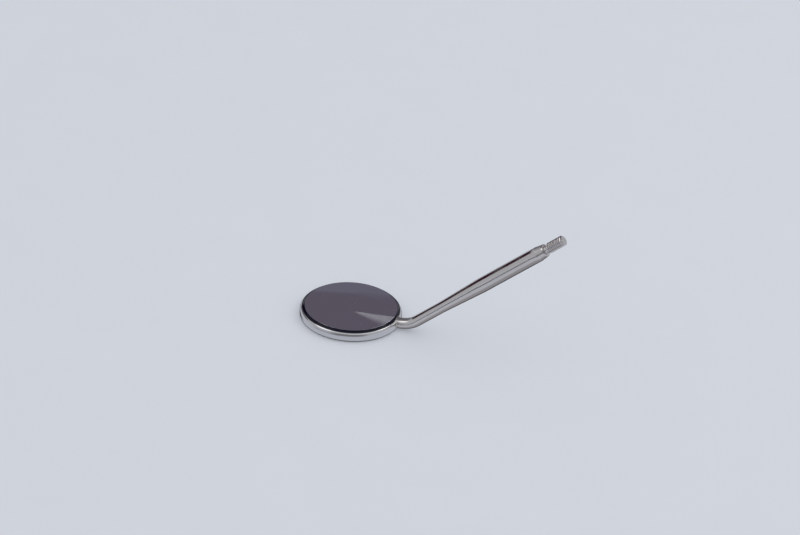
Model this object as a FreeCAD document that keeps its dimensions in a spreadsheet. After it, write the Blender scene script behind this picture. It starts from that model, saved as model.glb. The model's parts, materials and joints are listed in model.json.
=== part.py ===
import FreeCAD, Part
import os

import Sketcher

# Mouth mirror: a round mirror head on a bent stem that screws into a handle.
# Millimetres.  The origin is the centre of the head's flat back face.  +Z
# points out of the reflecting face and +X runs from the head's centre towards
# the stem, whose axis lies in the XZ plane.

V = FreeCAD.Vector
UP = V(0, 0, 1)

# Each driving size is one cell of the sheet: its alias, its value, what it is.
SIZES = [
    ("head_diameter", 24.0, "outside of the steel cup"),
    ("cup_wall", 0.5, "wall of the cup at its lip"),
    ("cup_floor", 0.5, "floor of the cup"),
    ("base_round", 0.6, "rounding between the cup's back and its side"),
    ("lip_round", 1.15, "rolled rounding from the cup's side to its lip"),
    ("lip_cover", 0.02, "height of the lip over the foot of the glass bevel"),
    ("cushion_thickness", 0.6, "backing sheet between the cup's floor and the glass"),
    ("glass_thickness", 1.6, "mirror glass"),
    ("glass_bevel", 0.38, "45 degree bevel round the front of the glass"),
    ("seal_gap", 0.12, "gap between glass and cup, filled with sealant"),
    ("coating_thickness", 0.03, "reflecting film on the front of the glass"),
    ("coating_margin", 0.08, "bare border between the film and the bevel"),
    ("neck_diameter", 2.6, "thin end of the stem, at the cup"),
    ("neck_lift", 0.05, "height of the neck's underside over the cup's back"),
    ("neck_length", 7.5, "straight part of the neck after the bend"),
    ("bend_radius", 6.8, "bend of the neck, on its axis"),
    ("bend_angle", 42.4, "angle between the stem and the mirror's plane"),
    ("shaft_diameter", 3.5, "thick end of the stem"),
    ("taper_length", 12.5, "taper from the neck to the shaft"),
    ("shaft_length", 17.0, "plain length of the shaft"),
    ("seat_length", 2.0, "cone that seats in the handle's mouth"),
    ("seat_tip_diameter", 2.9, "small end of the cone seat"),
    ("relief_length", 0.7, "undercut between the seat and the thread"),
    ("relief_diameter", 1.9, "bottom of the undercut"),
    ("thread_diameter", 2.5, "outside of the M2.5 thread"),
    ("thread_pitch", 0.45, "pitch of the M2.5 thread"),
    ("thread_length", 4.5, "threaded length"),
    ("thread_chamfer", 0.3, "chamfer at the thread's tip"),
    ("braze_radius", 0.3, "hollow fillet of braze round the stem's root"),
    ("braze_edge", 0.04, "thickness of the braze where it ends on the neck"),
]

# Places that follow from the driving sizes, all as expressions of the sheet.
HEAD_RADIUS = "Sizes.head_diameter / 2"
CUP_INNER = f"({HEAD_RADIUS} - Sizes.cup_wall)"
GLASS_RADIUS = f"({CUP_INNER} - Sizes.seal_gap)"
FILM_RADIUS = f"({GLASS_RADIUS} - Sizes.glass_bevel - Sizes.coating_margin)"
GLASS_BASE = "(Sizes.cup_floor + Sizes.cushion_thickness)"
GLASS_TOP = f"({GLASS_BASE} + Sizes.glass_thickness)"
BEVEL_FOOT = f"({GLASS_TOP} - Sizes.glass_bevel)"
LIP_TOP = f"({BEVEL_FOOT} + Sizes.lip_cover)"
LIP_RISE = "sqrt(Sizes.cup_wall * (2 * Sizes.lip_round - Sizes.cup_wall))"
SIDE_TOP = f"({LIP_TOP} - {LIP_RISE})"

# Heights clear of the neck's underside and of its top, for the trimming cuts.
BELOW = "-Sizes.neck_diameter"
ABOVE = f"({LIP_TOP} + 2 * Sizes.neck_diameter)"

BEND = "(Sizes.bend_angle * 1 deg)"
NECK_AXIS = "(Sizes.neck_lift + Sizes.neck_diameter / 2)"
ROOT_START = f"({HEAD_RADIUS} - Sizes.neck_diameter)"
BEND_END_X = f"({HEAD_RADIUS} + Sizes.bend_radius * sin({BEND}))"
BEND_END_Z = f"({NECK_AXIS} + Sizes.bend_radius * (1 - cos({BEND})))"
TAPER_END = "(Sizes.neck_length + Sizes.taper_length)"
SEAT_START = f"({TAPER_END} + Sizes.shaft_length)"
SEAT_END = f"({SEAT_START} + Sizes.seat_length)"
THREAD_START = f"({SEAT_END} + Sizes.relief_length)"
THREAD_END = f"({THREAD_START} + Sizes.thread_length)"
THREAD_RADIUS = "Sizes.thread_diameter / 2"
CHAMFER_RADIUS = f"({THREAD_RADIUS} - Sizes.thread_chamfer)"

# ISO metric thread: the groove's depth and its half widths at crest and root,
# as shares of the pitch.  The cutter starts a little outside the crest.
GROOVE_DEPTH = "0.6134 * Sizes.thread_pitch"
GROOVE_ROOT_HALF = "0.0834 * Sizes.thread_pitch"
CUTTER_RISE = "0.1 * Sizes.thread_pitch"
CUTTER_HALF = f"({GROOVE_ROOT_HALF} + ({GROOVE_DEPTH} + {CUTTER_RISE}) * tan(30 deg))"

doc = FreeCAD.newDocument("mouth_mirror")
sheet = doc.addObject("Spreadsheet::Sheet", "Sizes")
for row, (alias, value, meaning) in enumerate(SIZES, start=1):
    sheet.set(f"A{row}", meaning)
    sheet.set(f"B{row}", str(value))
    sheet.setAlias(f"B{row}", alias)
doc.recompute()


def number(expression):
    """What an expression of the sheet comes to."""
    return float(sheet.evalExpression(expression))


def new_body(name):
    body = doc.addObject("PartDesign::Body", name)
    body.Label = name
    return body


def new_sketch(body, name, plane):
    """An empty sketch on one of the body's own origin planes."""
    sketch = body.newObject("Sketcher::SketchObject", name)
    support = [item for item in body.Origin.OriginFeatures if item.Role == plane]
    sketch.AttachmentSupport = [(support[0], "")]
    sketch.MapMode = "FlatFace"
    return sketch


def pin_point(sketch, geometry, point, x, y):
    """Holds one point of the sketch at the expressions x and y."""
    for kind, axis, expression in (("DistanceX", -2, x), ("DistanceY", -1, y)):
        if expression == "0":
            sketch.addConstraint(Sketcher.Constraint("PointOnObject", geometry, point, axis))
            continue
        value = number(expression)
        index = sketch.addConstraint(Sketcher.Constraint(kind, -1, 1, geometry, point, value))
        sketch.setExpression(f"Constraints[{index}]", expression)


def bulge(start, end, radius):
    """An anticlockwise arc of a given radius, a half turn at most."""
    chord = end - start
    middle = (start + end) * 0.5
    inward = V(-chord.y, chord.x, 0).normalize()
    depth = max(radius ** 2 - (chord.Length / 2) ** 2, 0) ** 0.5
    centre = middle + inward * depth
    circle = Part.Circle(centre, UP, radius)
    return Part.ArcOfCircle(circle, circle.parameter(start), circle.parameter(end))


def draw(sketch, corners, closed=True):
    """Draws an outline: each corner is x, y, and a radius where an arc follows."""
    places = [V(number(corner[0]), number(corner[1]), 0) for corner in corners]
    sides = len(corners) if closed else len(corners) - 1
    for side in range(sides):
        start = places[side]
        end = places[(side + 1) % len(places)]
        if len(corners[side]) == 2:
            sketch.addGeometry(Part.LineSegment(start, end))
            continue
        radius = corners[side][2]
        sketch.addGeometry(bulge(start, end, number(radius)))
        index = sketch.addConstraint(Sketcher.Constraint("Radius", side, number(radius)))
        sketch.setExpression(f"Constraints[{index}]", radius)
    for side in range(sides - 1):
        sketch.addConstraint(Sketcher.Constraint("Coincident", side, 2, side + 1, 1))
    if closed:
        sketch.addConstraint(Sketcher.Constraint("Coincident", sides - 1, 2, 0, 1))
    for index, corner in enumerate(corners[:sides]):
        pin_point(sketch, index, 1, corner[0], corner[1])
    if not closed:
        pin_point(sketch, sides - 1, 2, corners[-1][0], corners[-1][1])


def draw_circle(sketch, radius, x="0", y="0"):
    circle = Part.Circle(V(number(x), number(y), 0), UP, number(radius))
    geometry = sketch.addGeometry(circle)
    pin_point(sketch, geometry, 3, x, y)
    index = sketch.addConstraint(Sketcher.Constraint("Radius", geometry, number(radius)))
    sketch.setExpression(f"Constraints[{index}]", radius)


def turn(body, feature, name, corners, plane="XZ_Plane", axis="V_Axis"):
    """Revolves an outline, as a Revolution or a Groove."""
    sketch = new_sketch(body, f"{name}_outline", plane)
    draw(sketch, corners)
    solid = body.newObject(f"PartDesign::{feature}", name)
    solid.Profile = sketch
    solid.ReferenceAxis = (sketch, [axis])
    solid.Angle = 360
    return sketch


def disc(name, radius, height, base):
    solid = doc.addObject("Part::Cylinder", name)
    solid.Label = name
    solid.setExpression("Radius", radius)
    solid.setExpression("Height", height)
    solid.setExpression("Placement.Base.z", base)
    return solid


def cup_side():
    """The cup's outside, from its back to its lip."""
    return [
        (f"({HEAD_RADIUS} - Sizes.base_round)", "0", "Sizes.base_round"),
        (HEAD_RADIUS, "Sizes.base_round"),
        (HEAD_RADIUS, SIDE_TOP, "Sizes.lip_round"),
    ]


def make_head_cup():
    """The pressed steel cup that holds the glass."""
    body = new_body("head_cup")
    corners = [("0", "0")] + cup_side() + [
        (CUP_INNER, LIP_TOP),
        (CUP_INNER, "Sizes.cup_floor"),
        ("0", "Sizes.cup_floor"),
    ]
    turn(body, "Revolution", "cup_shell", corners)
    return body


def make_mirror_glass():
    """The glass disc, with its front edge bevelled."""
    body = new_body("mirror_glass")
    sketch = new_sketch(body, "glass_circle", "XY_Plane")
    sketch.setExpression("AttachmentOffset.Base.z", GLASS_BASE)
    draw_circle(sketch, GLASS_RADIUS)
    disc_pad = body.newObject("PartDesign::Pad", "glass_disc")
    disc_pad.Profile = sketch
    disc_pad.setExpression("Length", "Sizes.glass_thickness")
    doc.recompute()
    rim = [
        f"Edge{index}"
        for index, edge in enumerate(disc_pad.Shape.Edges, start=1)
        if edge.Closed and abs(edge.CenterOfMass.z - number(GLASS_TOP)) < 1e-6
    ]
    bevel = body.newObject("PartDesign::Chamfer", "glass_bevel")
    bevel.Base = (disc_pad, rim)
    bevel.setExpression("Size", "Sizes.glass_bevel")
    return body


def make_edge_seal():
    """The ring of black sealant between the glass and the cup."""
    body = new_body("edge_seal")
    sketch = new_sketch(body, "seal_circles", "XY_Plane")
    sketch.setExpression("AttachmentOffset.Base.z", "Sizes.cup_floor")
    draw_circle(sketch, CUP_INNER)
    draw_circle(sketch, GLASS_RADIUS)
    ring = body.newObject("PartDesign::Pad", "seal_ring")
    ring.Profile = sketch
    ring.setExpression("Length", f"{BEVEL_FOOT} - Sizes.cup_floor")
    return body


def tilt(sketch):
    """Moves a sketch to the end of the bend, with its x along the stem."""
    sketch.setExpression("AttachmentOffset.Base.x", BEND_END_X)
    sketch.setExpression("AttachmentOffset.Base.y", BEND_END_Z)
    sketch.setExpression("AttachmentOffset.Rotation.Angle", BEND)


def add_neck(body):
    """The bent neck: a round bar swept along a line and an arc."""
    path = new_sketch(body, "neck_path", "XZ_Plane")
    draw(path, [
        (ROOT_START, NECK_AXIS),
        (HEAD_RADIUS, NECK_AXIS, "Sizes.bend_radius"),
        (BEND_END_X, BEND_END_Z),
    ], closed=False)
    section = new_sketch(body, "neck_section", "YZ_Plane")
    section.setExpression("AttachmentOffset.Base.z", ROOT_START)
    draw_circle(section, "Sizes.neck_diameter / 2", y=NECK_AXIS)
    neck = body.newObject("PartDesign::AdditivePipe", "neck")
    neck.Profile = section
    neck.Spine = (path, ["Edge1", "Edge2"])


def add_shaft(body):
    """The neck's straight end, the taper, the shaft, the seat and the thread's blank."""
    sketch = turn(body, "Revolution", "shaft", [
        ("0", "0"),
        (THREAD_END, "0"),
        (THREAD_END, CHAMFER_RADIUS),
        (f"({THREAD_END} - Sizes.thread_chamfer)", THREAD_RADIUS),
        (THREAD_START, THREAD_RADIUS),
        (THREAD_START, "Sizes.relief_diameter / 2"),
        (SEAT_END, "Sizes.relief_diameter / 2"),
        (SEAT_END, "Sizes.seat_tip_diameter / 2"),
        (SEAT_START, "Sizes.shaft_diameter / 2"),
        (TAPER_END, "Sizes.shaft_diameter / 2"),
        ("Sizes.neck_length", "Sizes.neck_diameter / 2"),
        ("0", "Sizes.neck_diameter / 2"),
    ], axis="H_Axis")
    tilt(sketch)


def cut_thread(body):
    """The thread's groove, from half a pitch inside the undercut to past the tip."""
    start = f"({THREAD_START} - Sizes.relief_length / 2)"
    root = f"({THREAD_RADIUS} - {GROOVE_DEPTH})"
    outside = f"({THREAD_RADIUS} + {CUTTER_RISE})"
    sketch = new_sketch(body, "thread_groove", "XZ_Plane")
    draw(sketch, [
        (f"({start} - {CUTTER_HALF})", outside),
        (f"({start} - {GROOVE_ROOT_HALF})", root),
        (f"({start} + {GROOVE_ROOT_HALF})", root),
        (f"({start} + {CUTTER_HALF})", outside),
    ])
    tilt(sketch)
    thread = body.newObject("PartDesign::SubtractiveHelix", "thread")
    thread.Profile = sketch
    thread.ReferenceAxis = (sketch, ["H_Axis"])
    thread.Mode = 0
    thread.setExpression("Pitch", "Sizes.thread_pitch")
    thread.setExpression("Height", f"{THREAD_END} - {start} + Sizes.thread_pitch")
    return thread


def cope_root(body):
    """Trims the neck's root to the outside of the cup."""
    corners = [
        ("0", BELOW),
        (f"({HEAD_RADIUS} - Sizes.base_round)", BELOW),
    ] + cup_side() + [
        (CUP_INNER, LIP_TOP),
        (CUP_INNER, ABOVE),
        ("0", ABOVE),
    ]
    turn(body, "Groove", "root_cope", corners)


def make_stem():
    """The stem: bent neck, tapered shaft, cone seat and M2.5 thread, in one piece."""
    body = new_body("stem")
    add_neck(body)
    add_shaft(body)
    cope_root(body)
    cut_thread(body)
    return body


def make_stem_braze(stem):
    """The hollow collar of braze round the neck's root, between the cup's back and lip."""
    body = new_body("braze_collar")
    foot = f"({HEAD_RADIUS} + Sizes.braze_radius)"
    edge = "(Sizes.neck_diameter / 2 + Sizes.braze_edge)"
    crest = f"({edge} + Sizes.braze_radius)"
    sketch = turn(body, "Revolution", "collar", [
        (ROOT_START, "0"),
        (ROOT_START, crest),
        (HEAD_RADIUS, crest, "Sizes.braze_radius"),
        (foot, edge),
        (foot, "0"),
    ], axis="H_Axis")
    sketch.setExpression("AttachmentOffset.Base.y", NECK_AXIS)
    far = f"({HEAD_RADIUS} + Sizes.neck_diameter)"
    turn(body, "Groove", "collar_trim", [
        ("0", BELOW),
        (far, BELOW),
        (far, "0"),
    ] + cup_side() + [
        (CUP_INNER, LIP_TOP),
        (far, LIP_TOP),
        (far, ABOVE),
        ("0", ABOVE),
    ])
    braze = doc.addObject("Part::Cut", "stem_braze")
    braze.Label = "stem_braze"
    braze.Base = body
    braze.Tool = stem
    return braze


def check(parts):
    """Stops the build if any object failed or any sub-part is missing or broken."""
    for item in doc.Objects:
        if "Invalid" in item.State or "Error" in item.State:
            raise RuntimeError(f"{item.Name} failed: {item.State}")
    for part in parts:
        if part.Shape.isNull() or not part.Shape.isValid() or not part.Shape.Solids:
            raise RuntimeError(f"{part.Label} has no sound solid")


def check_cuts(body):
    """Stops the build if a groove or a thread of the body took nothing away."""
    before = None
    for feature in body.Group:
        if not feature.isDerivedFrom("PartDesign::Feature"):
            continue
        volume = feature.Shape.Volume
        if feature.TypeId in ("PartDesign::Groove", "PartDesign::SubtractiveHelix"):
            if volume > before - 1e-3:
                raise RuntimeError(f"{feature.Name} cut nothing")
        before = volume


stem = make_stem()
parts = [
    make_head_cup(),
    disc("backing_cushion", GLASS_RADIUS, "Sizes.cushion_thickness", "Sizes.cup_floor"),
    make_mirror_glass(),
    disc("reflective_coating", FILM_RADIUS, "Sizes.coating_thickness", GLASS_TOP),
    make_edge_seal(),
    stem,
    make_stem_braze(stem),
]
doc.recompute()
check(parts)
check_cuts(stem)
check_cuts(doc.getObject("braze_collar"))

os.makedirs("parts", exist_ok=True)
for part in parts:
    part.Shape.exportStep(f"parts/{part.Label}.step")
    print(f"{part.Label}: {part.Shape.Volume:.3f} mm3")
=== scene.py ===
import json
import math

import bmesh
import bpy
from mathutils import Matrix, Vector, noise


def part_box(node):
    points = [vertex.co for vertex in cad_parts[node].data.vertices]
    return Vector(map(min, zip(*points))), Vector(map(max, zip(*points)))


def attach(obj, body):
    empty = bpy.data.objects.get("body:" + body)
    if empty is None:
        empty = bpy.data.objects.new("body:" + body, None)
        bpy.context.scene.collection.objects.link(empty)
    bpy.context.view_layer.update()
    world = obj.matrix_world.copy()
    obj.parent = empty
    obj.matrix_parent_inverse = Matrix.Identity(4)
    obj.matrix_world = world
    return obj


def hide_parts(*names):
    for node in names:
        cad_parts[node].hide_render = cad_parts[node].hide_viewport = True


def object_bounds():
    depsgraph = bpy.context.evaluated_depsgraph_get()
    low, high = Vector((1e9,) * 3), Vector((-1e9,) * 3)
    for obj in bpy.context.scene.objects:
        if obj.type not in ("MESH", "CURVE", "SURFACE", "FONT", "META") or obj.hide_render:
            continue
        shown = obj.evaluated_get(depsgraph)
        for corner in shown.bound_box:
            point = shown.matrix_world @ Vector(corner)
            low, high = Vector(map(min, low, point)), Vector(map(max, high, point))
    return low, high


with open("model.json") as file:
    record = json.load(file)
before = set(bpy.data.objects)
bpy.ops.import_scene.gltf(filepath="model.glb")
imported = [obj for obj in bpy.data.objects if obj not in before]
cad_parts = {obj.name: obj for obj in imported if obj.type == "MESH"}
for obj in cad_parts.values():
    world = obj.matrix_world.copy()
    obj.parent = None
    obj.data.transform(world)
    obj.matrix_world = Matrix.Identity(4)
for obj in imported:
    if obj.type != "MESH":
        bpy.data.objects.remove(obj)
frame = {"nodes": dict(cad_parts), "record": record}
cad_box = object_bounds()

# ---------------------------------------------------------------- head cup
# A shallow cup drawn from stainless sheet and turned to size: flat back, upright
# side, and a rim rolled inwards that holds the glass.  The stem is brazed to its
# side.  Polished on a lathe, so its marks run round the axis.

MM = 0.001

cup_low, cup_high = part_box("head_cup")
seal_low, seal_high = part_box("edge_seal")
cup_radius = cup_high.x
cup_bore = seal_high.x
cup_floor = seal_low.z
lip_top = cup_high.z
base_round = 0.6 * MM
lip_round = 1.15 * MM
lip_edge = 0.06 * MM
lip_centre_r = cup_radius - lip_round
lip_centre_z = lip_top - math.sqrt(lip_round ** 2 - (cup_bore - lip_centre_r) ** 2)
# Painted shade at the cup's foot: the height where it fades out, where it is full, and how far out it
# reaches.
foot_shade_fades = 0.55 * MM
foot_shade_full = 0.2 * MM
foot_shade_reach = cup_radius - 0.4 * base_round


def arc(centre_r, centre_z, radius, start, end, steps):
    """Points of an arc in the half plane (distance from the axis, height)."""
    points = []
    for step in range(steps + 1):
        angle = math.radians(start + (end - start) * step / steps)
        points.append((centre_r + radius * math.cos(angle), centre_z + radius * math.sin(angle)))
    return points


def piece_from(mesh_data, name, material, sharp=35.0):
    """A new object in the scene from a bmesh, smooth except at sharp edges."""
    bmesh.ops.recalc_face_normals(mesh_data, faces=mesh_data.faces)
    mesh = bpy.data.meshes.new(name)
    mesh_data.to_mesh(mesh)
    mesh_data.free()
    mesh.shade_smooth()
    mesh.set_sharp_from_angle(angle=math.radians(sharp))
    mesh.materials.append(material)
    piece = bpy.data.objects.new(name, mesh)
    bpy.context.scene.collection.objects.link(piece)
    return piece


def lathe(outline, closed=False, sides=288):
    """Turns an outline round the Z axis; points on the axis become poles."""
    turned = bmesh.new()
    rings = []
    for radius, height in outline:
        if radius < 1e-9:
            rings.append([turned.verts.new((0, 0, height))] * sides)
            continue
        rings.append([
            turned.verts.new((
                radius * math.cos(math.tau * side / sides),
                radius * math.sin(math.tau * side / sides),
                height,
            ))
            for side in range(sides)
        ])
    pairs = list(zip(rings, rings[1:]))
    if closed:
        pairs.append((rings[-1], rings[0]))
    for lower, upper in pairs:
        for side in range(sides):
            after = (side + 1) % sides
            corners = [lower[side], lower[after], upper[after], upper[side]]
            corners = [v for i, v in enumerate(corners) if v not in corners[:i]]
            if len(corners) > 2:
                turned.faces.new(corners)
    return turned


def new_material(name, **sockets):
    """A material with its Principled shader's plain values set; returns it with its tools."""
    material = bpy.data.materials.new(name)
    material.use_nodes = True
    tree = material.node_tree
    shader = tree.nodes["Principled BSDF"]
    for socket, value in sockets.items():
        shader.inputs[socket.replace("_", " ")].default_value = value
    return material, tree, shader


def add_node(tree, kind, link=None, **values):
    """Adds a node; values go to its properties or to its inputs by name."""
    node = tree.nodes.new(kind)
    for name, value in values.items():
        if name in node.bl_rna.properties:
            setattr(node, name, value)
        else:
            node.inputs[name.replace("_", " ")].default_value = value
    for socket, source in (link or {}).items():
        tree.links.new(source, node.inputs[socket])
    return node


def new_group(name, inputs, outputs):
    """An empty shader node group with named sockets: (socket type, name, default)."""
    tree = bpy.data.node_groups.new(name, "ShaderNodeTree")
    for kind, label, default in inputs:
        socket = tree.interface.new_socket(name=label, in_out="INPUT", socket_type=kind)
        if default is not None:
            socket.default_value = default
    for kind, label in outputs:
        tree.interface.new_socket(name=label, in_out="OUTPUT", socket_type=kind)
    start = tree.nodes.new("NodeGroupInput")
    end = tree.nodes.new("NodeGroupOutput")
    return tree, start.outputs, end.inputs


def place_group(tree, group, link=None, **values):
    """Places a node group in a material with its own values."""
    node = tree.nodes.new("ShaderNodeGroup")
    node.node_tree = group
    for name, value in values.items():
        node.inputs[name.replace("_", " ")].default_value = value
    for socket, source in (link or {}).items():
        tree.links.new(source, node.inputs[socket])
    return node


def math_node(tree, operation, first, second=None, clamp=False):
    """A math node whose two operands are sockets or numbers; returns its output."""
    node = tree.nodes.new("ShaderNodeMath")
    node.operation = operation
    node.use_clamp = clamp
    for socket, operand in zip(node.inputs, (first, second)):
        if operand is None:
            continue
        if isinstance(operand, (int, float)):
            socket.default_value = operand
        else:
            tree.links.new(operand, socket)
    return node.outputs[0]


def ramp(tree, source, low, high, to_low=0.0, to_high=1.0):
    """Maps a value smoothly from one range to another; returns its output."""
    node = add_node(tree, "ShaderNodeMapRange", {"Value": source}, interpolation_type="SMOOTHSTEP")
    node.inputs["From Min"].default_value = low
    node.inputs["From Max"].default_value = high
    node.inputs["To Min"].default_value = to_low
    node.inputs["To Max"].default_value = to_high
    return node.outputs["Result"]


def noise_value(tree, where, scale, detail, **values):
    """A noise texture at a place; returns its grey value."""
    node = add_node(tree, "ShaderNodeTexNoise", {"Vector": where}, Scale=scale, Detail=detail, **values)
    return node.outputs["Fac"]


def mix_colours(tree, factor, first, second):
    """Mixes two colours, each a socket or a plain colour, by a factor; returns its output."""
    node = add_node(tree, "ShaderNodeMix", {"Factor": factor}, data_type="RGBA")
    for label, colour in (("A", first), ("B", second)):
        if isinstance(colour, tuple):
            node.inputs[label].default_value = (*colour, 1)
        else:
            tree.links.new(colour, node.inputs[label])
    return node.outputs["Result"]


def axis_distance(tree, spot):
    """How far a separated place is from the Z axis; returns its output."""
    squares = [math_node(tree, "MULTIPLY", spot.outputs[axis], spot.outputs[axis]) for axis in ("X", "Y")]
    return math_node(tree, "SQRT", math_node(tree, "ADD", *squares))


def add_roughness(tree, rough, mask, extra):
    """Makes a roughness rougher where a mask of marks or dust is; returns its output."""
    return math_node(tree, "ADD", rough, math_node(tree, "MULTIPLY", mask, extra))


def add_bump(tree, shader, height, strength, distance):
    """Raises a finish by a height, through the shader's normal."""
    bump = add_node(tree, "ShaderNodeBump", {"Height": height}, Strength=strength, Distance=distance)
    tree.links.new(bump.outputs["Normal"], shader.inputs["Normal"])


# Hairlines from wiping and handling: long thin streaks in a few directions, broken up.
streak_stretch = (0.35, 22.0, 0.35)
hairlines, given, put = new_group(
    "hairlines",
    [("NodeSocketVector", "Vector", None), ("NodeSocketFloat", "Density", 1.0)],
    [("NodeSocketFloat", "Mask")],
)
strongest = None
for turn_degrees, offset in ((12.0, 0.0), (74.0, 3.7), (131.0, 9.1), (163.0, 5.3)):
    turned_place = add_node(
        hairlines, "ShaderNodeMapping", {"Vector": given["Vector"]},
        Rotation=(0.2, 0.1, math.radians(turn_degrees)), Location=(offset, offset, offset),
    )
    long_place = add_node(
        hairlines, "ShaderNodeVectorMath", {0: turned_place.outputs[0]}, operation="MULTIPLY",
    )
    long_place.inputs[1].default_value = streak_stretch
    thin = ramp(hairlines, noise_value(hairlines, long_place.outputs[0], 420.0, 1.0), 0.70, 0.78)
    kept = ramp(hairlines, noise_value(hairlines, turned_place.outputs[0], 260.0, 2.0), 0.52, 0.62)
    line = math_node(hairlines, "MULTIPLY", thin, kept)
    strongest = line if strongest is None else math_node(hairlines, "MAXIMUM", strongest, line)
hairlines.links.new(math_node(hairlines, "MULTIPLY", strongest, given["Density"], clamp=True), put["Mask"])

# Dust: tiny specks scattered at random, a few of them larger.
largest_speck = 0.22
dust, given, put = new_group(
    "dust",
    [
        ("NodeSocketVector", "Vector", None),
        ("NodeSocketFloat", "Scale", 1500.0),
        ("NodeSocketFloat", "Cover", 0.2),
    ],
    [("NodeSocketFloat", "Mask")],
)
specks = add_node(dust, "ShaderNodeTexVoronoi", {"Vector": given["Vector"], "Scale": given["Scale"]})
chance = add_node(dust, "ShaderNodeSeparateColor", {"Color": specks.outputs["Color"]})
chosen = math_node(dust, "LESS_THAN", chance.outputs[0], given["Cover"])
speck_size = math_node(dust, "MULTIPLY", chance.outputs[1], largest_speck)
speck = math_node(dust, "LESS_THAN", specks.outputs["Distance"], speck_size)
dust.links.new(math_node(dust, "MULTIPLY", chosen, speck), put["Mask"])

# Turning marks: fine rings round the Z axis, left by the lathe and the polishing mop.
ring_drift = 130.0
turning, given, put = new_group(
    "turning_marks",
    [("NodeSocketVector", "Vector", None), ("NodeSocketFloat", "Pitch", 9000.0)],
    [("NodeSocketFloat", "Height"), ("NodeSocketFloat", "Tone")],
)
place = add_node(turning, "ShaderNodeSeparateXYZ", {"Vector": given["Vector"]})
across = add_node(turning, "ShaderNodeCombineXYZ", {
    "X": math_node(turning, "MULTIPLY", axis_distance(turning, place), given["Pitch"]),
    "Y": math_node(turning, "MULTIPLY", place.outputs["Z"], given["Pitch"]),
    "Z": math_node(turning, "MULTIPLY", place.outputs["X"], ring_drift),
}).outputs[0]
turning.links.new(noise_value(turning, across, 1.0, 3.0, Roughness=0.6), put["Height"])
turning.links.new(noise_value(turning, across, 0.12, 2.0), put["Tone"])


def steel_cup_finish():
    """Polished stainless, with rings from turning, hairlines, dust, and shade painted darker at its foot.
    """
    material, tree, shader = new_material(
        "polished_cup_steel", Metallic=1.0, Base_Color=(0.66, 0.66, 0.68, 1), Roughness=0.14,
    )
    where = add_node(tree, "ShaderNodeTexCoord").outputs["Object"]
    marks = place_group(tree, turning, {"Vector": where}, Pitch=26000.0)
    scratches = place_group(tree, hairlines, {"Vector": where}, Density=0.8)
    specks = place_group(tree, dust, {"Vector": where}, Scale=5200.0, Cover=0.10)
    tone = mix_colours(tree, marks.outputs["Tone"], (0.58, 0.58, 0.605), (0.70, 0.70, 0.715))
    dusty = mix_colours(tree, specks.outputs["Mask"], tone, (0.50, 0.49, 0.47))
    # Painted shade: the base colour turns near black low on the foot's outer round, in place of the contact
    # shadow and dark reflection there.
    spot = add_node(tree, "ShaderNodeSeparateXYZ", {"Vector": where})
    low = ramp(tree, spot.outputs["Z"], foot_shade_fades, foot_shade_full)
    outer = ramp(tree, axis_distance(tree, spot), cup_radius - base_round, foot_shade_reach)
    foot_shaded = mix_colours(tree, math_node(tree, "MULTIPLY", low, outer), dusty, (0.10, 0.10, 0.11))
    tree.links.new(foot_shaded, shader.inputs["Base Color"])
    rough = ramp(tree, marks.outputs["Tone"], 0.3, 0.7, 0.10, 0.20)
    rough = add_roughness(tree, rough, scratches.outputs["Mask"], 0.16)
    rough = add_roughness(tree, rough, specks.outputs["Mask"], 0.35)
    tree.links.new(rough, shader.inputs["Roughness"])
    height = math_node(tree, "SUBTRACT", marks.outputs["Height"], scratches.outputs["Mask"])
    add_bump(tree, shader, height, 0.12, 0.00001)
    return material


lip_inner_r = cup_bore + lip_edge
edge_rise = math.sqrt((lip_round - lip_edge) ** 2 - (lip_inner_r - lip_centre_r) ** 2)
lip_end = math.degrees(math.atan2(edge_rise, lip_inner_r - lip_centre_r))
support = 0.02 * MM
cup_outline = [(0, 0), (cup_radius - base_round - support, 0)]
cup_outline += arc(cup_radius - base_round, base_round, base_round, -90, 0, 12)
cup_outline += [(cup_radius, base_round + support), (cup_radius, lip_centre_z - support)]
cup_outline += arc(lip_centre_r, lip_centre_z, lip_round, 0, lip_end, 28)
cup_outline += arc(lip_inner_r, lip_centre_z + edge_rise, lip_edge, lip_end, 180, 8)[1:]
cup_outline += [(cup_bore, cup_floor), (0, cup_floor)]
cup_steel = steel_cup_finish()
cup = piece_from(lathe(cup_outline), "cup_shell", cup_steel)
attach(cup, "root")
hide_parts("head_cup")

# ---------------------------------------------------------------- backing cushion
# A thin dark sheet between the cup's floor and the glass.  The glass hides it, so
# the CAD node itself is kept, with a dull fibrous finish.


def backing_finish():
    """Dull dark sheet with a faint fibrous mottle."""
    material, tree, shader = new_material("dark_backing_sheet", Roughness=0.9)
    where = add_node(tree, "ShaderNodeTexCoord").outputs["Object"]
    fibre = noise_value(tree, where, 2500.0, 5.0)
    colour = mix_colours(tree, fibre, (0.02, 0.02, 0.022), (0.05, 0.05, 0.055))
    tree.links.new(colour, shader.inputs["Base Color"])
    return material


cushion = frame["nodes"]["backing_cushion"]
cushion.data.materials.clear()
cushion.data.materials.append(backing_finish())

# ---------------------------------------------------------------- mirror glass
# A round disc of glass with its front edge ground to a bevel.  Light that enters
# the bevel dies in the dark backing, so the edge looks black and glossy.

glass_low, glass_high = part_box("mirror_glass")
glass_radius = glass_high.x
glass_top = glass_high.z
bevel = glass_top - seal_high.z
face_radius = glass_radius - bevel
arris = 0.05 * MM
arris_inset = 0.41 * arris
bevel_support = 0.7 * arris


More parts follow.
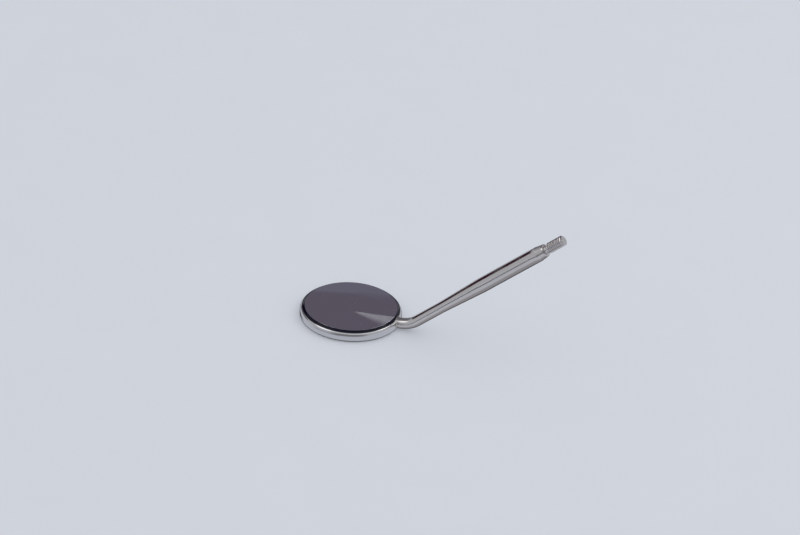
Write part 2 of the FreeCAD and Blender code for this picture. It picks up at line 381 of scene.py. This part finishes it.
def glass_finish():
    """Blue-black glossy glass edge, with ground-in roughness and tiny chips."""
    material, tree, shader = new_material(
        "dark_glass_edge", Base_Color=(0.006, 0.006, 0.016, 1), Roughness=0.06, IOR=1.5,
        Specular_IOR_Level=0.12,
    )
    where = add_node(tree, "ShaderNodeTexCoord").outputs["Object"]
    ground = noise_value(tree, where, 6000.0, 4.0)
    broad = noise_value(tree, where, 320.0, 2.0)
    colour = mix_colours(tree, broad, (0.003, 0.003, 0.010), (0.008, 0.008, 0.022))
    tree.links.new(colour, shader.inputs["Base Color"])
    tree.links.new(ramp(tree, ground, 0.35, 0.75, 0.03, 0.22), shader.inputs["Roughness"])
    add_bump(tree, shader, ground, 0.15, 0.00001)
    return material


glass_outline = [(0, glass_low.z), (glass_radius - arris, glass_low.z), (glass_radius, glass_low.z + arris)]
glass_outline += [(glass_radius, glass_top - bevel)]
glass_outline += [(face_radius + bevel_support, glass_top - bevel_support)]
glass_outline += arc(face_radius - arris_inset, glass_top - arris, arris, 45, 90, 5)
glass_outline += [(0, glass_top)]
glass = piece_from(lathe(glass_outline), "bevelled_glass", glass_finish(), sharp=8.0)
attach(glass, "root")
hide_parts("mirror_glass")

# ---------------------------------------------------------------- reflective coating
# A metal film on the front of the glass, so the image has no second ghost.  It is
# the mirror itself: bright, cool, with wipe marks, hairlines and a little dust.

film_low, film_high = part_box("reflective_coating")
film_radius = film_high.x
film_top = film_high.z
film_edge = 0.8 * (film_top - film_low.z)
smear_start = Vector((0.3, -2.3, 0)) * MM
smear_end = Vector((10.2, -0.35, 0)) * MM
smear_width = 5.8 * MM
smear_least = 0.2 * MM
smear_waver = 0.5 * MM
smear_strength = 0.31


def add_smear(tree, where):
    """A dried wipe mark: a fan that widens across the face, with one crisp side."""
    way = (smear_end - smear_start).normalized()
    reach_node = add_node(tree, "ShaderNodeVectorMath", {0: where}, operation="SUBTRACT")
    reach_node.inputs[1].default_value = smear_start
    wave = noise_value(tree, where, 260.0, 2.0)
    dots = []
    for direction in (way, Vector((way.y, -way.x, 0))):
        dot = add_node(tree, "ShaderNodeVectorMath", {0: reach_node.outputs[0]}, operation="DOT_PRODUCT")
        dot.inputs[1].default_value = direction
        dots.append(dot.outputs["Value"])
    along, across = dots
    length = (smear_end - smear_start).length
    across = math_node(tree, "ADD", across, math_node(tree, "MULTIPLY", wave, smear_waver))
    width = math_node(tree, "MULTIPLY", along, smear_width / length)
    share = math_node(tree, "DIVIDE", across, math_node(tree, "MAXIMUM", width, smear_least))
    crisp = ramp(tree, across, 0.10 * MM, 0.45 * MM)
    fading = ramp(tree, share, 1.2, 0.35)
    starts = ramp(tree, along, 0.0, 0.3 * length)
    mask = math_node(tree, "MULTIPLY", math_node(tree, "MULTIPLY", crisp, fading), starts)
    return math_node(tree, "MULTIPLY", mask, ramp(tree, wave, 0.2, 0.7, 0.55, 1.0))


def film_finish():
    """Front surface mirror film: near-perfect reflection, a faint haze where it was wiped."""
    material, tree, shader = new_material(
        "mirror_film", Metallic=1.0, Base_Color=(0.74, 0.72, 0.78, 1), Roughness=0.02,
    )
    where = add_node(tree, "ShaderNodeTexCoord").outputs["Object"]
    swept = add_node(tree, "ShaderNodeMapping", {"Vector": where}, Rotation=(0, 0, math.radians(24.0)))
    swept.inputs["Scale"].default_value = (60.0, 420.0, 60.0)
    wipe = noise_value(tree, swept.outputs[0], 1.0, 4.0, Distortion=0.6)
    cloud = noise_value(tree, where, 110.0, 3.0)
    scratches = place_group(tree, hairlines, {"Vector": where}, Density=0.5)
    specks = place_group(tree, dust, {"Vector": where}, Scale=2600.0, Cover=0.06)
    haze = math_node(tree, "MULTIPLY", ramp(tree, wipe, 0.45, 0.75), ramp(tree, cloud, 0.4, 0.7))
    residue = math_node(tree, "MULTIPLY", add_smear(tree, where), smear_strength)
    tree.links.new(math_node(tree, "SUBTRACT", 1.0, residue), shader.inputs["Metallic"])
    rough = ramp(tree, haze, 0.0, 1.0, 0.012, 0.05)
    rough = add_roughness(tree, rough, scratches.outputs["Mask"], 0.18)
    rough = add_roughness(tree, rough, specks.outputs["Mask"], 0.5)
    tree.links.new(rough, shader.inputs["Roughness"])
    tint = mix_colours(tree, cloud, (0.74, 0.70, 0.75), (0.73, 0.74, 0.80))
    dusty = mix_colours(tree, specks.outputs["Mask"], tint, (0.9, 0.88, 0.86))
    tree.links.new(dusty, shader.inputs["Base Color"])
    return material


film_outline = [(0, film_low.z), (film_radius, film_low.z)]
film_outline += arc(film_radius - film_edge, film_top - film_edge, film_edge, 0, 90, 8)
film_outline += [(film_radius - film_edge - support, film_top), (0, film_top)]
film = piece_from(lathe(film_outline), "mirror_face", film_finish())
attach(film, "root")
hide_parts("reflective_coating")

# ---------------------------------------------------------------- edge seal
# Black sealant run into the gap between glass and cup by hand: it wets both walls,
# sinks a little between them and is not quite even.

seal_sink = 0.05 * MM
seal_waver = 0.02 * MM
waver_scale = 700
sink_steps = 8


def seal_finish():
    """Smooth black sealant with a soft sheen and pinholes."""
    material, tree, shader = new_material(
        "black_sealant", Base_Color=(0.008, 0.008, 0.014, 1), Roughness=0.3,
    )
    where = add_node(tree, "ShaderNodeTexCoord").outputs["Object"]
    mottle = noise_value(tree, where, 900.0, 3.0)
    colour = mix_colours(tree, mottle, (0.004, 0.004, 0.009), (0.014, 0.014, 0.022))
    tree.links.new(colour, shader.inputs["Base Color"])
    tree.links.new(ramp(tree, mottle, 0.3, 0.7, 0.22, 0.45), shader.inputs["Roughness"])
    add_bump(tree, shader, mottle, 0.3, 0.00002)
    return material


seal_outline = [(glass_radius, cup_floor), (cup_bore, cup_floor), (cup_bore, seal_high.z)]
for step in range(1, sink_steps):
    share = step / sink_steps
    sink = seal_sink * math.sin(math.pi * share)
    seal_outline.append((cup_bore + (glass_radius - cup_bore) * share, seal_high.z - sink))
seal_outline.append((glass_radius, seal_high.z))
seal_ring = lathe(seal_outline, closed=True)
for vertex in seal_ring.verts:
    if vertex.co.z > seal_high.z - 2 * seal_sink:
        waver = noise.noise(Vector((vertex.co.x, vertex.co.y, 0)) * waver_scale)
        vertex.co.z += min(waver, 0.0) * seal_waver
seal = piece_from(seal_ring, "sealant_ring", seal_finish(), sharp=60.0)
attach(seal, "root")
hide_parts("edge_seal")

# ---------------------------------------------------------------- stem
# One stainless rod: a thin neck coped to the cup and bent up, a ground taper that
# thickens into the shaft, a cone seat, an undercut and a cut M2.5 thread.

thread_mount = next(m for m in frame["record"]["mounts"] if m["name"] == "thread_stub")
shaft_way = Vector(thread_mount["axis"]).normalized()
thread_middle = Vector(thread_mount["pos_m"])
stem_low, stem_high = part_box("stem")
bend_angle = math.atan2(shaft_way.z, shaft_way.x)
neck_radius = 1.3 * MM
bend_radius = 6.8 * MM
neck_length = 7.5 * MM
seat_length = 2.0 * MM
seat_tip_radius = 1.45 * MM
relief_radius = 0.95 * MM
relief_length = 0.7 * MM
thread_radius = thread_mount["dims"]["r_mm"] * MM
thread_length = thread_mount["dims"]["length_mm"] * MM
thread_pitch = 0.45 * MM
thread_depth = 0.6134 * thread_pitch    # the depth of a standard metric bolt thread
lead_slope = 1.4
tip_inset = 0.93
shaft_radius = stem_high.y
taper_length = 12.5 * MM
taper_ease = 0.1
edge_break = 0.08 * MM
edge_run = 1.6 * edge_break
root_inset = 0.2 * MM
weld_gap = 0.0005 * MM
sliver = 0.0003 * MM
neck_axis_z = stem_low.z + neck_radius
around = 120


def cup_outside(height):
    """The cup's outside radius at a height; above the lip, its bore."""
    if height < base_round:
        return cup_radius - base_round + math.sqrt(base_round ** 2 - (base_round - height) ** 2)
    if height < lip_centre_z:
        return cup_radius
    if height < lip_top:
        return lip_centre_r + math.sqrt(lip_round ** 2 - (height - lip_centre_z) ** 2)
    return cup_bore


def bend_centre(angle):
    """The rod's middle at an angle round the bend."""
    return Vector((
        cup_radius + bend_radius * math.sin(angle),
        0,
        neck_axis_z + bend_radius * (1 - math.cos(angle)),
    ))


bend_end = bend_centre(bend_angle)
thread_end = (thread_middle - bend_end).dot(shaft_way) + thread_length / 2
thread_start = thread_end - thread_length
seat_end = thread_start - relief_length
seat_start = seat_end - seat_length


def on_neck(radius, turn):
    """Where a line along the neck, at a radius and a turn from the top, meets the cup."""
    height = max(neck_axis_z + radius * math.cos(turn), 0.0)
    side = radius * math.sin(turn)
    return Vector((math.sqrt(cup_outside(height) ** 2 - side ** 2), side, height))


def stem_ring(rod, centre, tangent_angle, radius):
    """A ring of the rod round a centre, square to the rod's direction."""
    out = Vector((-math.sin(tangent_angle), 0, math.cos(tangent_angle)))
    return [
        rod.verts.new(
            centre
            + out * radius * math.cos(math.tau * step / around)
            + Vector((0, 1, 0)) * radius * math.sin(math.tau * step / around)
        )
        for step in range(around)
    ]


def shaft_profile():
    """Distance along the shaft and radius, from the bend to the undercut's end."""
    neck_steps = 8
    taper_steps = 40
    shaft_steps = 12
    cone_steps = 5
    taper_end = neck_length + taper_length
    shaft_end = seat_start - edge_break
    cone = (shaft_radius - seat_tip_radius) / seat_length
    profile = []
    for step in range(1, neck_steps + 1):
        profile.append((neck_length * step / neck_steps, neck_radius))
    for step in range(1, taper_steps + 1):
        share = step / taper_steps
        eased = (1 - taper_ease) * share + taper_ease * share * share * (3 - 2 * share)
        radius = neck_radius + (shaft_radius - neck_radius) * eased
        profile.append((neck_length + taper_length * share, radius))
    for step in range(1, shaft_steps + 1):
        profile.append((taper_end + (shaft_end - taper_end) * step / shaft_steps, shaft_radius))
    profile.append((seat_start + edge_break * 0.3, shaft_radius - edge_break * 0.25))
    profile.append((seat_start + edge_run, shaft_radius - cone * edge_run - edge_break * 0.2))
    for step in range(1, cone_steps + 1):
        share = step / cone_steps
        along = edge_run + (seat_length - edge_break - edge_run) * share
        profile.append((seat_start + along, shaft_radius - cone * along - edge_break * 0.2 * (1 - share)))
    profile.append((seat_end - edge_break * 0.3, seat_tip_radius - edge_break * 0.35))
    profile.append((seat_end, seat_tip_radius - edge_break))
    profile.append((seat_end, relief_radius + edge_break))
    profile.append((seat_end + edge_break * 0.3, relief_radius + edge_break * 0.3))
    profile.append((seat_end + edge_break, relief_radius))
    profile.append((thread_start, relief_radius))
    return profile


def join_rings(rod, first, second):
    """Faces between two rings of the rod."""
    for step in range(around):
        after = (step + 1) % around
        rod.faces.new((first[step], first[after], second[after], second[step]))


def thread_envelope(along):
    """The largest radius that the thread's lead-in and tip chamfers leave."""
    lead = relief_radius + (along - thread_start) * lead_slope
    tip = relief_radius + (thread_end - along)
    return min(thread_radius, lead, tip)


def add_thread(rod):
    """The thread as one helical strip: root, flank, crest and flank, turn after turn."""
    crest_half = thread_pitch / 16
    flank = thread_depth * math.tan(math.radians(30))
    strip = [
        (-thread_pitch / 2, -thread_depth),
        (-crest_half - flank, -thread_depth),
        (-crest_half - flank * 0.5, -thread_depth * 0.5),
        (-crest_half, 0.0),
        (crest_half, 0.0),
        (crest_half + flank * 0.5, -thread_depth * 0.5),
        (crest_half + flank, -thread_depth),
        (thread_pitch / 2, -thread_depth),
    ]
    out = Vector((-math.sin(bend_angle), 0, math.cos(bend_angle)))
    turns = round(thread_length / thread_pitch) + 2
    rows = []
    for step in range(turns * around + 1):
        turn = math.tau * step / around
        way = out * math.cos(turn) + Vector((0, 1, 0)) * math.sin(turn)
        centre = thread_start + thread_pitch * (step / around - 1)
        row = []
        for shift, depth in strip:
            along = min(max(centre + shift, thread_start), thread_end)
            radius = max(min(thread_radius + depth, thread_envelope(along)), relief_radius)
            row.append(rod.verts.new(bend_end + shaft_way * along + way * radius))
        rows.append(row)
    for before, after in zip(rows, rows[1:]):
        for left in range(len(strip) - 1):
            rod.faces.new((before[left], before[left + 1], after[left + 1], after[left]))
    tip_centre = bend_end + shaft_way * thread_end
    tip_ring = stem_ring(rod, tip_centre, bend_angle, relief_radius)
    inner_ring = stem_ring(rod, tip_centre, bend_angle, relief_radius * tip_inset)
    join_rings(rod, tip_ring, inner_ring)
    rod.faces.new(inner_ring)


def build_stem():
    """The whole rod as one closed skin."""
    rod = bmesh.new()
    root = [rod.verts.new(on_neck(neck_radius, math.tau * step / around)) for step in range(around)]
    rings = [root]
    bend_steps = 48
    for step in range(bend_steps + 1):
        angle = bend_angle * step / bend_steps
        rings.append(stem_ring(rod, bend_centre(angle), angle, neck_radius))
    for along, radius in shaft_profile():
        rings.append(stem_ring(rod, bend_end + shaft_way * along, bend_angle, radius))
    for first, second in zip(rings, rings[1:]):
        join_rings(rod, first, second)
    root_middle = rod.verts.new(Vector((cup_bore + root_inset, 0, neck_axis_z)))
    for step in range(around):
        rod.faces.new((root[step], root_middle, root[(step + 1) % around]))
    add_thread(rod)
    bmesh.ops.remove_doubles(rod, verts=rod.verts, dist=weld_gap)
    bmesh.ops.dissolve_degenerate(rod, edges=rod.edges, dist=sliver)
    return rod


def write_place(piece):
    """Stores, at each point, the turn round the rod and the distance along it."""
    attribute = piece.data.attributes.new("rod_place", "FLOAT_VECTOR", "POINT")
    for vertex in piece.data.vertices:
        spot = vertex.co
        along = (spot - bend_end).dot(shaft_way)
        if along > 0:
            centre = bend_end + shaft_way * along
            along += bend_radius * bend_angle
            out = Vector((-shaft_way.z, 0, shaft_way.x))
        else:
            angle = math.atan2(spot.x - cup_radius, neck_axis_z + bend_radius - spot.z)
            angle = max(angle, 0.0)
            along = bend_radius * angle
            centre = bend_centre(angle)
            out = Vector((-math.sin(angle), 0, math.cos(angle)))
        offset = spot - centre
        turn = math.atan2(offset.y, offset.dot(out))
        attribute.data[vertex.index].vector = (math.cos(turn), math.sin(turn), along / MM)


def stem_finish():
    """Stainless rod, polished along its length, with hairlines and a little dust."""
    material, tree, shader = new_material(
        "polished_stem_steel", Metallic=1.0, Base_Color=(0.64, 0.64, 0.66, 1), Roughness=0.16,
    )
    rod = add_node(tree, "ShaderNodeAttribute", attribute_name="rod_place")
    where = add_node(tree, "ShaderNodeTexCoord").outputs["Object"]
    drawn_out = add_node(tree, "ShaderNodeVectorMath", {0: rod.outputs["Vector"]}, operation="MULTIPLY")
    drawn_out.inputs[1].default_value = (34.0, 34.0, 0.55)
    grain = noise_value(tree, drawn_out.outputs[0], 1.0, 4.0, Roughness=0.65)
    patches = noise_value(tree, where, 240.0, 3.0)
    scratches = place_group(tree, hairlines, {"Vector": where}, Density=0.8)
    specks = place_group(tree, dust, {"Vector": where}, Scale=5200.0, Cover=0.10)
    tone = mix_colours(tree, grain, (0.57, 0.545, 0.55), (0.72, 0.695, 0.69))
    dusty = mix_colours(tree, specks.outputs["Mask"], tone, (0.50, 0.49, 0.47))
    tree.links.new(dusty, shader.inputs["Base Color"])
    rough = ramp(tree, patches, 0.3, 0.7, 0.10, 0.20)
    rough = add_roughness(tree, rough, scratches.outputs["Mask"], 0.16)
    rough = add_roughness(tree, rough, specks.outputs["Mask"], 0.35)
    tree.links.new(rough, shader.inputs["Roughness"])
    add_bump(tree, shader, math_node(tree, "SUBTRACT", grain, scratches.outputs["Mask"]), 0.15, 0.00001)
    return material


stem = piece_from(build_stem(), "stem_rod", stem_finish(), sharp=28.0)
write_place(stem)
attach(stem, "root")
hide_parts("stem")

# ---------------------------------------------------------------- stem braze
# Silver braze drawn into the joint of neck and cup: a hollow fillet, a little
# uneven, that thins out at the lip and at the cup's back.

braze_reach = 0.42 * MM
braze_least = 0.05 * MM
braze_uneven = 0.16
braze_inner = 0.97 * neck_radius
braze_outer = 1.003 * neck_radius
braze_proud = 0.004 * MM
braze_root = 0.05 * MM


def braze_size(turn):
    """The fillet's size at a turn round the neck, held between the back and the lip."""
    lean = math.cos(turn)
    waver = noise.noise(Vector((math.cos(turn), math.sin(turn), 0)) * 1.7)
    size = braze_reach * (1 + braze_uneven * waver)
    if lean < 0:
        size = min(size, neck_axis_z / -lean - neck_radius)
    if lean > 0:
        size = min(size, (lip_top - neck_axis_z) / lean - neck_radius)
    return max(size, braze_least)


def build_braze():
    """A closed ring whose section is a corner filled by a hollow curve."""
    fillet = bmesh.new()
    curve_steps = 12
    sections = []
    for step in range(around):
        turn = math.tau * step / around
        size = braze_size(turn)
        corner = on_neck(braze_inner, turn)
        foot_cup = on_neck(neck_radius + size, turn) + Vector((braze_proud, 0, 0))
        foot_neck = on_neck(braze_outer, turn) + Vector((size, 0, 0))
        past = max(foot_neck.x - cup_radius, 0.0)
        foot_neck.z += past ** 2 / (2 * bend_radius)
        section = []
        for part in range(curve_steps + 1):
            share = part / curve_steps
            section.append(fillet.verts.new(
                foot_cup * (1 - share) ** 2 + corner * 2 * share * (1 - share) + foot_neck * share ** 2
            ))
        section.append(fillet.verts.new(corner - Vector((braze_root, 0, 0))))
        sections.append(section)
    for step in range(around):
        here = sections[step]
        there = sections[(step + 1) % around]
        for part in range(len(here)):
            after = (part + 1) % len(here)
            fillet.faces.new((here[part], here[after], there[after], there[part]))
    return fillet


def braze_finish():
    """Pale silver braze, slightly dull and tarnished in patches."""
    material, tree, shader = new_material("silver_braze", Metallic=1.0, Roughness=0.28)
    where = add_node(tree, "ShaderNodeTexCoord").outputs["Object"]
    patches = noise_value(tree, where, 1900.0, 4.0)
    colour = mix_colours(tree, patches, (0.44, 0.42, 0.39), (0.64, 0.62, 0.59))
    tree.links.new(colour, shader.inputs["Base Color"])
    tree.links.new(ramp(tree, patches, 0.3, 0.7, 0.36, 0.2), shader.inputs["Roughness"])
    add_bump(tree, shader, patches, 0.3, 0.00002)
    return material


braze = piece_from(build_braze(), "braze_fillet", braze_finish(), sharp=50.0)
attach(braze, "root")
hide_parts("stem_braze")

# ---------------------------------------------------------------- table and surroundings
# A plain pale table with a faint glow, unseen in reflections.  The room that steel and
# mirror reflect is painted by direction, with walls, ceiling, dim far side, doorway and
# window; diffuse rays see one soft even light in its place.

camera_azimuth = math.radians(18.0)
camera_elevation = math.radians(29.95)
camera_back = Vector((
    math.sin(camera_azimuth) * math.cos(camera_elevation),
    -math.cos(camera_azimuth) * math.cos(camera_elevation),
    math.sin(camera_elevation),
))


def table_finish():
    """Pale smooth board with the faintest mottle and a faint glow of its own."""
    material, tree, shader = new_material("pale_table", Roughness=0.75, Specular_IOR_Level=0.2)
    where = add_node(tree, "ShaderNodeTexCoord").outputs["Object"]
    mottle = noise_value(tree, where, 60.0, 3.0)
    colour = mix_colours(tree, mottle, (0.52, 0.54, 0.58), (0.54, 0.56, 0.60))
    tree.links.new(colour, shader.inputs["Base Color"])
    shader.inputs["Emission Color"].default_value = (0.60, 0.625, 0.69, 1)
    shader.inputs["Emission Strength"].default_value = 0.28
    return material


table_sheet = bmesh.new()
bmesh.ops.create_grid(table_sheet, x_segments=2, y_segments=2, size=3.0)
table_top = piece_from(table_sheet, "table_top", table_finish())
table_top.location.z = cad_box[0].z - 0.01 * MM
table_top.visible_glossy = False

world = bpy.data.worlds.new("room")
bpy.context.scene.world = world
world.use_nodes = True
room = world.node_tree
background = room.nodes["Background"]
direction = add_node(room, "ShaderNodeTexCoord").outputs["Generated"]
height = add_node(room, "ShaderNodeSeparateXYZ", {"Vector": direction}).outputs["Z"]


def towards(vector):
    """How closely the direction agrees with a vector, as a cosine."""
    node = add_node(room, "ShaderNodeVectorMath", {0: direction}, operation="DOT_PRODUCT")
    node.inputs[1].default_value = vector
    return node.outputs["Value"]


wall_light = (0.52, 0.53, 0.55)
ceiling_light = (0.92, 0.93, 0.95)
dim_room = (0.127, 0.114, 0.142)
dim_low = (0.158, 0.152, 0.192)
dark_front = (0.24, 0.24, 0.25)
dark_doorway = (0.030, 0.004, 0.012)
skirting = (0.01, 0.01, 0.01)
table_light = (0.60, 0.625, 0.685)
under_light = (0.36, 0.36, 0.38)
under_far = (0.07, 0.07, 0.08)
overhead = (0.30, 0.30, 0.32)
upper_gap = (0.18, 0.17, 0.19)
window_light = (1.40, 1.41, 1.43)
soft_light = (0.815, 0.825, 0.845)
backdrop = (0.80, 0.82, 0.84)
far_side = Vector((-camera_back.x, -camera_back.y, camera_back.z))
doorway_side = Vector((-0.922, 0.326, 0.21)).normalized()
near_left = Vector((-0.519, -0.824, -0.226)).normalized()
front_way = Vector((camera_back.x, camera_back.y, 0.15)).normalized()
high_left = Vector((-0.56, 0.25, 0.79)).normalized()
window_side = Vector((-0.56, -0.43, 0.71)).normalized()
under_way = Vector((-camera_back.x, -camera_back.y, -0.9)).normalized()


def cap(centre, edge_degrees, full_degrees):
    """One inside a round patch of directions, nought outside, with a soft edge between."""
    edge = math.cos(math.radians(edge_degrees))
    full = math.cos(math.radians(full_degrees))
    return ramp(room, towards(centre), edge, full)


def above(low_degrees, high_degrees):
    """Nought below one height over the horizon, one above another; the other way if swapped."""
    return ramp(room, height, math.sin(math.radians(low_degrees)), math.sin(math.radians(high_degrees)))


dim_colour = mix_colours(room, above(30.69, 30.63), dim_room, dim_low)
sky = mix_colours(room, above(36, 48), wall_light, ceiling_light)
sky = mix_colours(room, cap(far_side, 44, 32), sky, dim_colour)
sky = mix_colours(room, above(48, 66), sky, overhead)
sky = mix_colours(room, cap(high_left, 30, 19), sky, upper_gap)
sky = mix_colours(room, cap(window_side, 19, 10), sky, window_light)
sky = mix_colours(room, above(1, -1), sky, table_light)
along_shaft = towards(shaft_way)
near_cone = ramp(room, along_shaft, -0.42, -0.46)
beside_shaft = math_node(room, "MULTIPLY", near_cone, ramp(room, along_shaft, -0.64, -0.60))
doorway = math_node(room, "MULTIPLY", beside_shaft, cap(doorway_side, 25, 20))
sky = mix_colours(room, doorway, sky, dark_doorway)
front_height = math_node(room, "MULTIPLY", above(-17, -9), above(50, 34))
sky = mix_colours(room, math_node(room, "MULTIPLY", front_height, cap(front_way, 48, 24)), sky, dark_front)
table_edge = math_node(room, "MULTIPLY", above(-8.5, -10.5), above(-17.5, -15.5))
sky = mix_colours(room, math_node(room, "MULTIPLY", table_edge, cap(near_left, 34, 24)), sky, skirting)
sky = mix_colours(room, above(-46, -66), sky, under_light)
sky = mix_colours(room, cap(under_way, 46, 20), sky, under_far)

light_path = add_node(room, "ShaderNodeLightPath")
sky = mix_colours(room, light_path.outputs["Is Diffuse Ray"], sky, soft_light)
sky = mix_colours(room, light_path.outputs["Is Camera Ray"], sky, backdrop)
room.links.new(sky, background.inputs["Color"])

side_lamp = bpy.data.lights.new("side_lamp", "AREA")
side_lamp.energy = 0.5
side_lamp.size = 0.35
side_lamp.color = (1.0, 0.985, 0.96)
side_lamp_object = bpy.data.objects.new("side_lamp", side_lamp)
side_lamp_object.location = (0.45, 0.25, 0.55)
side_lamp_object.rotation_euler = (-side_lamp_object.location).to_track_quat("-Z", "Y").to_euler()
bpy.context.scene.collection.objects.link(side_lamp_object)

bpy.context.scene.view_settings.view_transform = "Standard"

# ---------------------------------------------------------------- camera
# Long lens from above the near side, rolled slightly, with the head left of centre.

camera_distance = 0.55
camera_roll = math.radians(4.19)
framing_right = 11.58 * MM
framing_up = 10.345 * MM
head_middle = Vector((0, 0, (cup_low.z + cup_high.z) / 2))

level_right = Vector((math.cos(camera_azimuth), math.sin(camera_azimuth), 0))
level_up = camera_back.cross(level_right)
camera_right = level_right * math.cos(camera_roll) + level_up * math.sin(camera_roll)
camera_up = camera_back.cross(camera_right)
aim = head_middle + camera_right * framing_right + camera_up * framing_up
camera = bpy.data.cameras.new("camera")
camera.lens = 105.2
camera.clip_start = 0.01
camera_object = bpy.data.objects.new("camera", camera)
turning_matrix = camera_object.matrix_world.to_3x3()
for row in range(3):
    turning_matrix[row][0] = camera_right[row]
    turning_matrix[row][1] = camera_up[row]
    turning_matrix[row][2] = camera_back[row]
camera_object.rotation_euler = turning_matrix.to_euler()
camera_object.location = aim + camera_back * camera_distance
bpy.context.scene.collection.objects.link(camera_object)
bpy.context.scene.camera = camera_object
